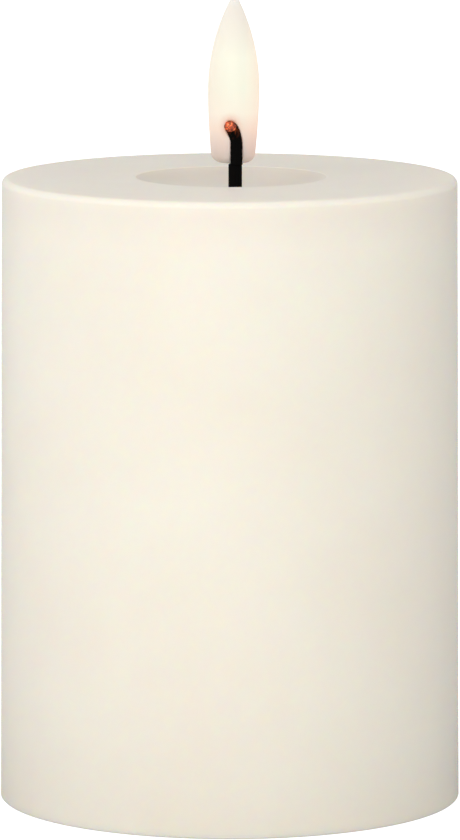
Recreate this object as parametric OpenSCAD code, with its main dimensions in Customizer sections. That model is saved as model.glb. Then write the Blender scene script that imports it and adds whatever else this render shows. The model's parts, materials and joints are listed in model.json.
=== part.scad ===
// Flameless LED pillar candle: a hollow wax shell with a lit flame on a wick, and a battery base.
// The origin is the middle of the foot, +Z is up and -Y is the front.

/* [Wax body] */
// Outer diameter at the foot
body_d = 75; // [74:0.5:95]
// Height of the wax without the flame
body_h = 101.5; // [80:0.5:160]
// How much narrower the top is than the foot, on the diameter
body_taper = 1.2; // [0:0.1:2]
// Thickness of the wax wall at the foot
wax_wall = 3.5; // [2.5:0.1:4.2]
// Thickness of the wax over the hollow
wax_top = 6; // [5:0.5:10]
// Radius of the upper edge
top_edge_r = 1.1; // [0.4:0.1:2]
// Radius of the foot edge
foot_edge_r = 0.3; // [0.1:0.1:1]

/* [Melt pool] */
// Diameter of the pool's rim
pool_d = 31; // [24:0.5:44]
// Depth of the pool at its middle
pool_depth = 2.3; // [1:0.1:3]
// How far the pool lies to the right of the middle
pool_x = 0.3; // [-1:0.1:1]

/* [Flame] */
// Widest diameter of the flame
flame_d = 8.35; // [7:0.05:12]
// Height of the flame from its foot to the point where its sides meet
flame_h = 27.7; // [24:0.1:40]
// Height of the widest place above the flame's foot
flame_belly = 11.8; // [8:0.1:14]
// Radius of the flame's lower edge
flame_edge_r = 1.7; // [0.5:0.1:2]
// Gap between the wax top and the flame's foot
flame_gap = 2.2; // [1:0.1:6]
// Place of the flame's axis to the right of the middle
flame_x = 0.55; // [-1:0.05:1]
// Place of the flame's axis behind the middle
flame_y = 1.2; // [1.1:0.05:1.5]
// Lean of the flame to the right, in degrees
flame_lean = 0.5; // [0:0.1:1.5]

/* [Wick] */
// Outer diameter of the stem tube
stem_d = 2.2; // [2.1:0.1:3]
// Inner diameter of the stem tube
stem_bore = 1.6; // [1.5:0.05:1.8]
// Place of the stem to the right of the middle
stem_x = 0.9; // [0:0.1:1.5]
// Width of the wick
wick_w = 2; // [1.6:0.1:2.2]
// Thickness of the wick from front to back
wick_t = 1.3; // [1:0.1:1.5]
// Height of the wick's bend above the flame's foot
wick_bend_z = 3.3; // [2:0.1:6]
// Place of the wick to the right of the stem
wick_shift = 0.2; // [0:0.05:0.3]

/* [Battery cells] */
// Diameter of one cell
cell_d = 14.2; // [13.5:0.1:14.5]
// Length of one cell with its button
cell_l = 50; // [49:0.1:50.5]
// Gap between the two cells
cell_gap = 0.8; // [0.4:0.1:1.5]
// Working height of a contact spring
spring_h = 4.7; // [4:0.1:5.5]

/* [Base] */
// Height of the base plate above the foot
foot_gap = 0.7; // [0.4:0.1:2]
// Thickness of the base plate
plate_t = 3; // [2.8:0.1:5]
// Height of the rim that grips the wax
rim_h = 12; // [10:0.5:25]
// Wall thickness of the rim
rim_wall = 1.4; // [1:0.1:2]
// Wall thickness of the battery bay
bay_wall = 1.2; // [1:0.1:1.4]
// Thickness of the battery door
door_t = 1.5; // [1.2:0.1:1.8]

/* [Switch] */
// Length of the knob along its travel
knob_l = 3.4; // [2.5:0.1:4]
// Width of the knob
knob_w = 2.8; // [2:0.1:3.4]
// Full travel of the knob over its three places
knob_travel = 4; // [3:0.5:4]
// Length of the switch can
switch_l = 13; // [12.4:0.2:14]
// Width of the switch can
switch_w = 6; // [5.6:0.1:7]
// Height of the switch can
switch_h = 4.3; // [4.1:0.1:5]

/* [Electronics] */
// Thickness of the circuit board
board_t = 1.2; // [0.8:0.1:1.6]
// Length of the circuit board
board_l = 41; // [40:1:44]
// Diameter of the insulated wires
wire_d = 1.3; // [1:0.1:1.5]

/* [Hidden] */
$fn = 64;
eps = 0.01;

// Clearances
fit = 0.3;        // between pieces that are put together by hand
close_fit = 0.1;  // between pieces that are glued or pressed
pin_play = 0.06;  // round a hinge pin, on the radius

// Wax shell
body_r = body_d / 2;
body_top_r = body_r - body_taper / 2;
hollow_r = body_r - wax_wall;
ceiling_z = body_h - wax_top;
hollow_bevel = 2;
stem_hole_d = stem_d + 2 * fit;

// Flame, wick and lamp
flame_z = body_h + flame_gap;
flame_r = flame_d / 2;
flame_foot_r = flame_r - 0.55;
tip_r = 0.6;
flame_arc_r = (pow(flame_h - flame_belly, 2) + flame_r * flame_r) / (2 * flame_r);
flame_tip_a = asin((flame_h - flame_belly) / flame_arc_r);
lamp_play = 0.2;
stem_y = -1.45;
wick_y = stem_y - 0.65;
wick_back_y = wick_y + wick_t / 2;
wick_x = stem_x + wick_shift;
wick_tip = [wick_x - 1, flame_z + wick_bend_z + 2.65];
curl_l = 1.15;
ember_r = 0.84;
groove_play = 0.12;
strip_w = 1.1;
strip_t = 0.4;
strip_y = wick_back_y + 0.08;
led_w = 1.6;
led_h = 2;
led_t = 0.7;
led_z = flame_z + 9;
strip_top_z = led_z + led_h + 0.6;
tab_w = 4.4;
tab_h = 6.5;
holder_t = 1.6;
holder_d = 26;
boss_d = 7;
boss_h = 8;
stem_foot_z = ceiling_z - holder_t - boss_h;
tab_top_z = stem_foot_z - 0.2;

// Base housing and battery bay
housing_r = hollow_r - fit;
rim_in_r = housing_r - rim_wall;
plate_z = foot_gap;
floor_z = plate_z + plate_t;
contact_t = 0.4;
contact_w = 12;
contact_h = 11.5;
bay_l = cell_l + spring_h + 2 * contact_t + 0.1;
bay_w = 2 * cell_d + cell_gap + 0.8;
cell_y = (cell_d + cell_gap) / 2;
cell_z = plate_z + door_t + 0.4 + cell_d / 2;
bay_top_z = cell_z + cell_d / 2 + 0.4;
roof_t = 1.3;
roof_z = bay_top_z + roof_t;
bay_side_y = bay_w / 2 + bay_wall;
tab_out = 2.4;
contact_x = bay_l / 2 - contact_t;
tab_half_w = 1.4;
cell_rib_h = 3.5;
cell_rib_w = 1.2;

// Cells
cell_shift = (bay_l - 2 * contact_t - cell_l) / 2 - 0.05;
button_r = 2.65;
button_h = 1.2;
can_edge = 0.6;
sleeve_t = 0.15;
sleeve_gap = 0.05;

// Battery door
ledge = 0.7;
door_half_w = bay_w / 2 + ledge;
door_half_l = bay_l / 2 + 1.2;
door_corner_r = housing_r - rim_wall - 0.8;
knuckle_r = 1.2;
knuckle_l = 5;
trunnion_r = 0.8;
trunnion_l = 1.2;
hinge_x = 18;
hinge_y = door_half_w + 1.8;
hinge_z = plate_z + knuckle_r;
pocket_play = 0.3;
pocket_y = hinge_y + 1.8;
hinge_block_l = knuckle_l + 4.8;
hinge_relief = 0.8;
tongue_w = 11;
tongue_reach = 1.6;
tongue_t = 0.8;
tongue_top_z = floor_z + 2.8;
hook = 0.5;
notch_depth = 3.9;
latch_wall = 1;
latch_top_z = tongue_top_z + 0.5;
scoop_r = 12;
scoop_depth = 1.3;

// Switch and circuit board
switch_y = hinge_y + 7.7;
switch_z = floor_z;
can_t = 0.3;
board_z = switch_z + switch_h;
board_top = board_z + board_t;
board_near_y = bay_side_y + 1.6;
board_far_y = switch_y + 5;
board_r = rim_in_r - 0.9;
knob_face_z = plate_z + 0.25;
knob_rest_x = -knob_travel / 2;
carriage_l = 6;
carriage_w = 4.4;
carriage_t = 1.2;
carriage_z = switch_z + can_t + 0.12;
wiper_t = 0.2;
insulator_t = 1.6;
insulator_z = board_z - insulator_t - 0.1;
pin_d = 0.6;
pin_pitch = 2.5;
terminal_x = [for (i = [-1.5 : 1 : 1.5]) i * pin_pitch];
recess_depth = 1.3;
screw_x = 17;
screw_y = switch_y - 1.4;
screw_d = 1.8;
head_d = 3.6;
head_h = 1.3;
screw_l = 5;
boss_hole_d = screw_d + close_fit;
board_boss_d = 4.6;

// Wires, and the pads on the board that they end at: [x, y]
over_roof = roof_z + wire_d / 2 + 0.5;
pad_z = board_top + 0.1;
tab_wire_x = contact_x - wire_d / 2 - 0.05;
up_wall_y = hollow_r - 4.2;
under_holder_z = stem_foot_z - 1.5;
tab_wire_z = tab_top_z - tab_h + 2.2;
tab_wire_y = strip_y + strip_t + 0.12;
red_pad = [12.5, board_near_y + 1.7];
black_pad = [9, board_near_y + 1.7];
lamp_red_pad = [-8.5, board_near_y + 1.7];
lamp_black_pad = [-12, board_near_y + 1.7];

// --- Shared functions -------------------------------------------------------------------------

// Points on an arc about c, from angle a0 to a1 in n steps
function arc(c, r, a0, a1, n) =
    [for (i = [0 : n]) let (a = a0 + (a1 - a0) * i / n) c + r * [cos(a), sin(a)]];

// A smooth curve through the points p, with k steps between two of them
function smooth(p, k = 6) = concat(
    [for (i = [0 : len(p) - 2]) for (j = [0 : k - 1])
        let (a = p[max(i - 1, 0)], b = p[i], c = p[i + 1], d = p[min(i + 2, len(p) - 1)], t = j / k)
        0.5 * (2 * b + (c - a) * t + (2 * a - 5 * b + 4 * c - d) * t * t
               + (3 * b - 3 * c + d - a) * t * t * t)],
    [p[len(p) - 1]]);

function unit(v) = v / norm(v);

function tangents(p) =
    [for (i = [0 : len(p) - 1]) unit(p[min(i + 1, len(p) - 1)] - p[max(i - 1, 0)])];

// One sideways direction per point, carried along the curve without twisting
function normals(t, n, i = 0) =
    i == len(t) ? [] : let (m = unit(n - (n * t[i]) * t[i])) concat([m], normals(t, m, i + 1));

// A round tube of radius r along the points p
module tube(p, r, sides = 8, first = [1, 0, 0.01]) {
    t = tangents(p);
    n = normals(t, first);
    rings = [for (i = [0 : len(p) - 1]) for (j = [0 : sides - 1])
        let (a = 360 * j / sides) p[i] + r * (cos(a) * n[i] + sin(a) * cross(t[i], n[i]))];
    last = (len(p) - 1) * sides;
    walls = [for (i = [0 : len(p) - 2]) for (j = [0 : sides - 1])
        let (a = i * sides + j, b = i * sides + (j + 1) % sides) [b, a, a + sides, b + sides]];
    ends = [[for (j = [0 : sides - 1]) j], [for (j = [sides - 1 : -1 : 0]) last + j]];
    polyhedron(rings, concat(walls, ends), convexity = 6);
}

module box(low, high) {
    translate(low) cube(high - low);
}

module rod_x(r, l) {
    rotate([0, 90, 0]) cylinder(r = r, h = l, center = true);
}

// --- Wax shell --------------------------------------------------------------------------------

function wax_outline() = concat(
    [[0, 0]],
    arc([body_r - foot_edge_r, foot_edge_r], foot_edge_r, -90, 0, 4),
    arc([body_top_r - top_edge_r, body_h - top_edge_r], top_edge_r, 0, 90, 8),
    [[0, body_h]]);

// Depth profile of the pool: nearly flat in the middle, steep at the rim
function pool_outline(r, n = 10) = concat(
    [for (i = [0 : n]) let (u = sin(90 * i / n)) [r * u, -pool_depth * (1 - pow(u, 5))]],
    [[r, 1], [0, 1]]);

module wax_shell() {
    color([0.96, 0.93, 0.86])
    difference() {
        rotate_extrude() polygon(wax_outline());
        translate([0, 0, -1]) cylinder(r = hollow_r, h = ceiling_z + 1 - hollow_bevel);
        translate([0, 0, ceiling_z - hollow_bevel - eps])
            cylinder(r1 = hollow_r, r2 = hollow_r - hollow_bevel, h = hollow_bevel + eps);
        translate([pool_x, 0, body_h]) rotate_extrude() polygon(pool_outline(pool_d / 2));
        translate([stem_x, stem_y, ceiling_z - 1]) cylinder(d = stem_hole_d, h = wax_top + 2);
    }
}

// --- Flame ------------------------------------------------------------------------------------

function flame_side(a) = [flame_r - flame_arc_r + flame_arc_r * cos(a),
                          flame_belly + flame_arc_r * sin(a)];

function flame_outline() = concat(
    [[0, 0]],
    arc([flame_foot_r - flame_edge_r, flame_edge_r], flame_edge_r, -90, 0, 6),
    [for (t = [0.25 : 0.25 : 0.75])
        [flame_foot_r + (flame_r - flame_foot_r) * sin(90 * t),
         flame_edge_r + (flame_belly - flame_edge_r) * t]],
    [for (i = [0 : 12]) flame_side(flame_tip_a * 0.95 * i / 12)],
    [[0, flame_side(flame_tip_a * 0.95)[1] + tip_r * 0.45]]);

// The wick's front outline, widened by w on each side: straight, then leaning to its tip
module wick_outline(w) {
    half = wick_w / 2 + w;
    foot_z = flame_z - w;
    bend = [wick_x, flame_z + wick_bend_z];
    for (step = [0 : 2]) {
        a = wick_bend(bend, step / 3);
        b = wick_bend(bend, (step + 1) / 3);
        hull() {
            translate(a) circle(r = half);
            translate(b) circle(r = half);
        }
    }
    translate([wick_x - half, foot_z]) square([2 * half, bend[1] - foot_z]);
}

function wick_bend(bend, t) = [bend[0] + (wick_tip[0] - bend[0]) * t * t,
                               bend[1] + (wick_tip[1] - bend[1]) * t];

// Extrudes a front outline from y0 back to y1
module from_front(y0, y1) {
    translate([0, y1, 0]) rotate([90, 0, 0]) linear_extrude(height = y1 - y0) children();
}

module flame_diffuser() {
    color([1.0, 0.95, 0.86])
    difference() {
        translate([flame_x, flame_y, flame_z]) rotate([0, flame_lean, 0])
            rotate_extrude() polygon(flame_outline());
        from_front(flame_y - flame_r - 1, strip_y) wick_outline(groove_play);
        box([stem_x - led_w / 2 - lamp_play, strip_y - eps, flame_z - 1],
            [stem_x + led_w / 2 + lamp_play, strip_y + strip_t + led_t + lamp_play, strip_top_z + fit]);
    }
}

module wick() {
    color([0.05, 0.045, 0.04])
    union() {
        from_front(wick_back_y - wick_t, wick_back_y) wick_outline(0);
        translate([wick_tip[0], wick_y, wick_tip[1]]) rotate([90, 0, 0])
            cylinder(r = wick_w / 2 - 0.05, h = curl_l);
    }
}

module wick_ember() {
    color([0.95, 0.35, 0.12])
    translate([wick_tip[0], wick_y - curl_l, wick_tip[1]]) rotate([90, 0, 0])
    rotate_extrude() polygon([[0, 0], [ember_r, 0], [ember_r, 0.15], [ember_r - 0.15, 0.3],
                              [ember_r / 2, 0.4], [0, 0.44]]);
}

module wick_stem() {
    color([0.06, 0.055, 0.05])
    translate([stem_x, stem_y, stem_foot_z])
    difference() {
        cylinder(d = stem_d, h = flame_z - stem_foot_z);
        translate([0, 0, -1]) cylinder(d = stem_bore, h = flame_z - stem_foot_z + 2);
    }
}

module flame_led() {
    color([0.95, 0.85, 0.45])
    box([stem_x - led_w / 2, strip_y + strip_t, led_z],
        [stem_x + led_w / 2, strip_y + strip_t + led_t, led_z + led_h]);
}

module led_board() {
    color([0.85, 0.85, 0.8])
    union() {
        box([stem_x - strip_w / 2, strip_y, tab_top_z - eps],
            [stem_x + strip_w / 2, strip_y + strip_t, strip_top_z]);
        box([stem_x - tab_w / 2, strip_y, tab_top_z - tab_h],
            [stem_x + tab_w / 2, strip_y + strip_t, tab_top_z]);
    }
}

module lamp_holder() {
    color([0.9, 0.9, 0.88])
    translate([stem_x, stem_y, 0])
    difference() {
        union() {
            translate([0, 0, ceiling_z - holder_t]) cylinder(d = holder_d, h = holder_t);
            translate([0, 0, stem_foot_z]) cylinder(d = boss_d, h = boss_h + eps);
            for (turn = [45 : 90 : 315])
                rotate([0, 0, turn]) holder_rib();
        }
        translate([0, 0, stem_foot_z - 1]) cylinder(d = stem_d + close_fit, h = boss_h + holder_t + 2);
    }
}

// One of the triangular ribs between the boss and the flange
module holder_rib() {
    rib_t = 1.2;
    translate([0, rib_t / 2, 0]) rotate([90, 0, 0]) linear_extrude(height = rib_t)
        polygon([[boss_d / 2 - 0.5, stem_foot_z + 2], [boss_d / 2 + 0.3, stem_foot_z + 2],
                 [holder_d / 2 - 2, ceiling_z - holder_t + eps],
                 [boss_d / 2 - 0.5, ceiling_z - holder_t + eps]]);
}

// --- Base housing -----------------------------------------------------------------------------

// The door's outline, grown by g: a rectangle with its corners cut round
module door_outline(g) {
    intersection() {
        square([2 * (door_half_l + g), 2 * (door_half_w + g)], center = true);
        circle(r = door_corner_r + g);
    }
}

// The door's seat in the plate, wider behind so that the door's edge swings clear
module door_recess() {
    door_outline(fit);
    intersection() {
        circle(r = door_corner_r + fit);
        translate([-door_half_l - fit, 0]) square([2 * (door_half_l + fit), door_half_w + hinge_relief]);
    }
}

// A slot with round ends along X
module slot_outline(l, w) {
    square([l - w, w], center = true);
    for (side = [-1, 1])
        translate([side * (l - w) / 2, 0]) circle(d = w);
}

module base_housing() {
    color([0.93, 0.91, 0.87])
    difference() {
        housing_solid();
        translate([0, 0, plate_z - 1]) linear_extrude(height = door_t + 0.1 + 1) door_recess();
        box([-bay_l / 2, -bay_w / 2, plate_z], [bay_l / 2, bay_w / 2, bay_top_z]);
        hinge_cuts();
        latch_cuts();
        switch_cuts();
        contact_slots();
        for (side = [-1, 1])
            translate([side * screw_x, screw_y, board_z - screw_l - 0.3])
                cylinder(d = boss_hole_d, h = screw_l + 1);
    }
    cell_rib();
}

module housing_solid() {
    translate([0, 0, plate_z]) cylinder(r = housing_r, h = plate_t);
    translate([0, 0, plate_z])
    difference() {
        cylinder(r = housing_r, h = rim_h);
        translate([0, 0, 1]) cylinder(r = rim_in_r, h = rim_h);
    }
    box([-bay_l / 2 - bay_wall, -bay_side_y, plate_z + 1],
        [bay_l / 2 + bay_wall, bay_side_y, roof_z]);
    box([-tongue_w / 2 - fit - latch_wall, -door_half_w - notch_depth - latch_wall, plate_z + 1],
        [tongue_w / 2 + fit + latch_wall, -bay_side_y + 0.5, latch_top_z + latch_wall]);
    for (side = [-1, 1]) {
        translate([side * screw_x, screw_y, plate_z + 1])
            cylinder(d = board_boss_d, h = board_z - plate_z - 1);
        box([side * hinge_x - hinge_block_l / 2, bay_side_y - 0.5, plate_z + 1],
            [side * hinge_x + hinge_block_l / 2, pocket_y + 0.8, floor_z + 0.9]);
    }
}

// Pockets for the door's knuckles, with a bore for the trunnions across each
module hinge_cuts() {
    for (side = [-1, 1])
        translate([side * hinge_x, 0, 0]) {
            box([-knuckle_l / 2 - pocket_play, door_half_w + 0.1, plate_z - 1],
                [knuckle_l / 2 + pocket_play, pocket_y, hinge_z + knuckle_r + pocket_play]);
            translate([0, hinge_y, hinge_z])
                rod_x(trunnion_r + pin_play, knuckle_l + 2 * trunnion_l + 0.4);
        }
}

// The closed pocket that the door's tongue rises into, and the thumb scoop before it
module latch_cuts() {
    box([-tongue_w / 2 - fit, -door_half_w - notch_depth, plate_z - 1],
        [tongue_w / 2 + fit, -bay_side_y, latch_top_z]);
    box([-tongue_w / 2 - fit, -door_half_w - notch_depth, plate_z - 1],
        [tongue_w / 2 + fit, -door_half_w, plate_z + door_t + 0.1]);
    translate([0, -door_half_w - notch_depth, plate_z - scoop_r + scoop_depth]) sphere(r = scoop_r);
}

module switch_cuts() {
    translate([0, switch_y, plate_z - 1]) linear_extrude(height = recess_depth + 1)
        slot_outline(knob_travel + knob_l + 4.4, knob_w + 2.8);
    translate([0, switch_y, plate_z]) linear_extrude(height = plate_t + 1)
        square([knob_travel + knob_l + 2 * fit, knob_w + 2 * fit], center = true);
}

// Slots in the bay's roof for the solder tabs of the two end contacts
module contact_slots() {
    for (side = [-1, 1])
        box([contact_x - 0.2, side * cell_y - tab_half_w - 0.4, bay_top_z - 1],
            [contact_x + contact_t + 0.1, side * cell_y + tab_half_w + 0.4, roof_z + 1]);
}

// The rib under the bay's roof that keeps the two cells apart
module cell_rib() {
    rib_half = bay_l / 2 - 9;
    box([-rib_half, -cell_rib_w / 2, bay_top_z - cell_rib_h], [rib_half, cell_rib_w / 2, bay_top_z + eps]);
}

// --- Battery door -----------------------------------------------------------------------------

module battery_door() {
    color([0.93, 0.91, 0.87])
    union() {
        translate([0, 0, plate_z]) linear_extrude(height = door_t) door_outline(0);
        for (side = [-1, 1])
            translate([side * hinge_x, 0, 0]) {
                box([-knuckle_l / 2, door_half_w - 1, plate_z], [knuckle_l / 2, hinge_y, plate_z + door_t]);
                translate([0, hinge_y, hinge_z]) rod_x(knuckle_r, knuckle_l);
                translate([0, hinge_y, hinge_z]) rod_x(trunnion_r, knuckle_l + 2 * trunnion_l);
            }
        door_tongue();
    }
}

// The snap tongue: a short ledge, an upright finger and a hook that faces the front
module door_tongue() {
    outer_y = -door_half_w - tongue_reach;
    hook_z = floor_z + 0.5;
    box([-tongue_w / 2, outer_y, plate_z], [tongue_w / 2, -door_half_w + 1, plate_z + door_t]);
    box([-tongue_w / 2, outer_y, plate_z + door_t - eps], [tongue_w / 2, outer_y + tongue_t, tongue_top_z]);
    translate([-tongue_w / 4, 0, 0]) rotate([90, 0, 90]) linear_extrude(height = tongue_w / 2)
        polygon([[outer_y + eps, hook_z], [outer_y - hook, hook_z], [outer_y - hook, hook_z + 0.4],
                 [outer_y + eps, hook_z + 1.6]]);
}

// --- Cells and contacts -----------------------------------------------------------------------

// Places a cell that is drawn upright, button up: cell 1 points to +X and cell 2 to -X
module at_cell(n) {
    way = n == 1 ? 1 : -1;
    translate([way * cell_shift, way * cell_y, cell_z]) rotate([0, way * 90, 0])
        translate([0, 0, -cell_l / 2]) children();
}

module cell_can(n) {
    r = cell_d / 2 - sleeve_t - sleeve_gap;
    body_l = cell_l - button_h;
    color([0.8, 0.8, 0.78])
    at_cell(n) rotate_extrude()
        polygon([[0, 0], [r - can_edge, 0], [r, can_edge], [r, body_l - can_edge], [r - can_edge, body_l],
                 [button_r, body_l], [button_r, cell_l], [0, cell_l]]);
}

module cell_sleeve(n) {
    r = cell_d / 2;
    top = cell_l - button_h - 0.3;
    color(n == 1 ? [0.16, 0.3, 0.42] : [0.18, 0.32, 0.44])
    at_cell(n) rotate_extrude() polygon([[r - sleeve_t, 0.7], [r, 0.7], [r, top], [r - sleeve_t, top]]);
}

module cell_1_can() { cell_can(1); }
module cell_2_can() { cell_can(2); }
module cell_1_sleeve() { cell_sleeve(1); }
module cell_2_sleeve() { cell_sleeve(2); }

// An end contact on the +X wall at one cell, with its tab up through the roof
module end_contact(y) {
    color([0.75, 0.74, 0.7])
    union() {
        box([contact_x, y - contact_w / 2, cell_z - contact_h / 2],
            [contact_x + contact_t, y + contact_w / 2, cell_z + contact_h / 2]);
        box([contact_x, y - tab_half_w, cell_z], [contact_x + contact_t, y + tab_half_w, roof_z + tab_out]);
    }
}

module positive_contact() { end_contact(cell_y); }
module negative_contact() { end_contact(-cell_y); }

module bridge_contact() {
    half = cell_y + contact_w / 2;
    color([0.75, 0.74, 0.7])
    box([-contact_x - contact_t, -half, cell_z - contact_h / 2], [-contact_x, half, cell_z + contact_h / 2]);
}

// A cone-shaped coil spring from x0 to x1, wide at x0, with a flat turn at each end
module contact_spring(x0, x1, y) {
    wire_r = 0.3;
    turns = 4;
    wide_r = 4;
    narrow_r = 2.6;
    steps = 15;
    way = x1 > x0 ? 1 : -1;
    travel = abs(x1 - x0) - 2 * wire_r - 0.1;
    p = [for (i = [0 : turns * steps])
        let (u = i / (turns * steps), a = 360 * i / steps, r = wide_r + (narrow_r - wide_r) * u,
             rise = max(0, min(1, (u * turns - 0.6) / (turns - 1.2))))
        [x0 + way * (wire_r + 0.05 + travel * rise), y + r * cos(a), cell_z + r * sin(a)]];
    color([0.72, 0.72, 0.7]) tube(p, wire_r, 8);
}

module bridge_spring() { contact_spring(-contact_x, -contact_x + spring_h, cell_y); }
module negative_spring() { contact_spring(contact_x, contact_x - spring_h, -cell_y); }

// --- Circuit board ----------------------------------------------------------------------------

module circuit_board() {
    color([0.1, 0.36, 0.2])
    translate([0, 0, board_z])
    difference() {
        linear_extrude(height = board_t)
        intersection() {
            circle(r = board_r);
            translate([-board_l / 2, board_near_y]) square([board_l, board_far_y - board_near_y]);
        }
        for (side = [-1, 1])
            translate([side * screw_x, screw_y, -1]) cylinder(d = screw_d + 0.4, h = board_t + 2);
        for (x = terminal_x)
            translate([x, switch_y, -1]) cylinder(d = pin_d + 0.2, h = board_t + 2);
    }
}

module control_chip() {
    chip = [5, 3.9, 1.5];
    leg = [0.4, 1, 0.25];
    leg_pitch = 1.27;
    color([0.12, 0.12, 0.13])
    translate([-3, board_near_y + 3.9, board_top]) {
        translate([-chip[0] / 2, -chip[1] / 2, 0.1]) cube(chip);
        for (i = [-1.5 : 1 : 1.5]) for (side = [-1, 1])
            translate([i * leg_pitch - leg[0] / 2, side * (chip[1] / 2 + 0.4) - leg[1] / 2, 0]) cube(leg);
    }
}

module timer_crystal() {
    r = 1;
    color([0.78, 0.78, 0.76])
    translate([3.4, board_near_y + 4.6, board_top + r + 0.05]) rod_x(r, 6);
}

module capacitor() {
    r = 2;
    h = 5;
    color([0.2, 0.22, 0.28])
    translate([10.6, board_near_y + 5.4, board_top])
    rotate_extrude() polygon([[0, 0], [r, 0], [r, 0.7], [r - 0.25, 0.95], [r, 1.2], [r, h - 0.3],
                              [r - 0.3, h], [0, h]]);
}

module chip_resistors() {
    color([0.2, 0.2, 0.2])
    for (i = [0 : 3])
        translate([-14.5 + 2.2 * i, board_near_y + 4.2, board_top]) cube([0.85, 1.6, 0.5]);
}

module board_screws() {
    color([0.7, 0.7, 0.68])
    for (side = [-1, 1])
        translate([side * screw_x, screw_y, board_top])
        difference() {
            union() {
                cylinder(d1 = head_d, d2 = head_d - 0.8, h = head_h);
                translate([0, 0, -screw_l]) cylinder(d = screw_d, h = screw_l + eps);
            }
            for (turn = [0, 90])
                rotate([0, 0, turn]) box([-1.1, -0.2, head_h - 0.6], [1.1, 0.2, head_h + 1]);
        }
}

// --- Slide switch -----------------------------------------------------------------------------

module switch_can() {
    color([0.76, 0.76, 0.75])
    translate([0, switch_y, switch_z])
    difference() {
        box([-switch_l / 2, -switch_w / 2, 0], [switch_l / 2, switch_w / 2, switch_h]);
        box([-switch_l / 2 + can_t, -switch_w / 2 + can_t, can_t],
            [switch_l / 2 - can_t, switch_w / 2 - can_t, switch_h + 1]);
        box([-(knob_travel + knob_l) / 2 - 0.2, -knob_w / 2 - 0.2, -1],
            [(knob_travel + knob_l) / 2 + 0.2, knob_w / 2 + 0.2, 1]);
    }
}

module switch_base() {
    color([0.16, 0.13, 0.11])
    translate([0, switch_y, insulator_z])
    difference() {
        box([-switch_l / 2 + can_t + 0.05, -switch_w / 2 + can_t + 0.05, 0],
            [switch_l / 2 - can_t - 0.05, switch_w / 2 - can_t - 0.05, insulator_t]);
        for (x = terminal_x)
            translate([x, 0, -1]) cylinder(d = pin_d + 0.1, h = insulator_t + 2);
    }
}

module switch_terminals() {
    color([0.8, 0.75, 0.6])
    for (x = terminal_x)
        translate([x, switch_y, insulator_z - 0.1])
            cylinder(d = pin_d, h = board_top + 0.7 - insulator_z + 0.1);
}

module switch_knob() {
    ridge = 0.25;
    color([0.1, 0.1, 0.1])
    translate([knob_rest_x, switch_y, 0])
    union() {
        box([-knob_l / 2, -knob_w / 2, knob_face_z + ridge], [knob_l / 2, knob_w / 2, carriage_z + 0.2]);
        for (x = [-1 : 1])
            box([x * knob_l / 3 - 0.3, -knob_w / 2, knob_face_z],
                [x * knob_l / 3 + 0.3, knob_w / 2, knob_face_z + ridge + eps]);
        box([-carriage_l / 2, -carriage_w / 2, carriage_z],
            [carriage_l / 2, carriage_w / 2, carriage_z + carriage_t]);
    }
}

module switch_wiper() {
    wiper_z = carriage_z + carriage_t;
    color([0.82, 0.66, 0.36])
    translate([knob_rest_x, switch_y, wiper_z])
    union() {
        box([-carriage_l / 2 + 0.3, -0.7, 0], [carriage_l / 2 - 0.3, 0.7, wiper_t]);
        for (side = [-1, 1])
            translate([side * pin_pitch / 2, 0, wiper_t - eps])
                cylinder(d = 0.9, h = insulator_z - wiper_z - wiper_t - 0.25);
    }
}

// --- Wires ------------------------------------------------------------------------------------

// From an end contact's tab over the roof's edge and down to a pad on the board
module battery_wire(from_y, over_y, pad) {
    tube(smooth([[tab_wire_x, from_y, over_roof + 1], [tab_wire_x - 1.6, from_y + 2, over_roof + 0.6],
                 [tab_wire_x - 4, over_y, over_roof + 0.4], [pad[0] + 6, bay_side_y - 1, over_roof + 0.6],
                 [pad[0] + 2.6, pad[1] + 0.6, over_roof - 1.6], [pad[0] + 0.3, pad[1] + 0.4, pad_z + 4.5],
                 [pad[0], pad[1], pad_z + 1.6], [pad[0], pad[1], pad_z]]), wire_d / 2);
}

module battery_wire_red() {
    color([0.75, 0.1, 0.08]) battery_wire(cell_y, cell_y + 4, red_pad);
}

module battery_wire_black() {
    color([0.08, 0.08, 0.08]) battery_wire(-cell_y, 2, black_pad);
}

// From a pad on the board up the back of the hollow and in under the lamp holder
module lamp_wire(pad, side, high) {
    tube(smooth([[pad[0], pad[1], pad_z], [pad[0], pad[1], pad_z + 2],
                 [pad[0] + 0.4, pad[1] + 2.6, pad_z + 9], [pad[0] + 1, up_wall_y - 2.5, pad_z + 20],
                 [pad[0] + 2, up_wall_y, (pad_z + under_holder_z) / 2],
                 [pad[0] + 3, up_wall_y - 2, under_holder_z - 14],
                 [pad[0] * 0.5, up_wall_y - 10, under_holder_z - 3 + high],
                 [stem_x + side * 2.4, 9, under_holder_z - 3.4 + high],
                 [stem_x + side * 1.3, 3, tab_wire_z + 0.6], [stem_x + side * 1.2, tab_wire_y, tab_wire_z]]),
         wire_d / 2);
}

module lamp_wire_red() {
    color([0.75, 0.1, 0.08]) lamp_wire(lamp_red_pad, 1, 1);
}

module lamp_wire_black() {
    color([0.08, 0.08, 0.08]) lamp_wire(lamp_black_pad, -1, -1);
}

wax_shell();
flame_diffuser();
wick();
wick_ember();
wick_stem();
flame_led();
led_board();
lamp_holder();
base_housing();
battery_door();
cell_1_can();
cell_1_sleeve();
cell_2_can();
cell_2_sleeve();
bridge_contact();
bridge_spring();
positive_contact();
negative_contact();
negative_spring();
circuit_board();
control_chip();
timer_crystal();
capacitor();
chip_resistors();
board_screws();
switch_can();
switch_base();
switch_terminals();
switch_knob();
switch_wiper();
battery_wire_red();
battery_wire_black();
lamp_wire_red();
lamp_wire_black();
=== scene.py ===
import json
import math

import bmesh
import bpy
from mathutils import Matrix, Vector, noise


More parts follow.
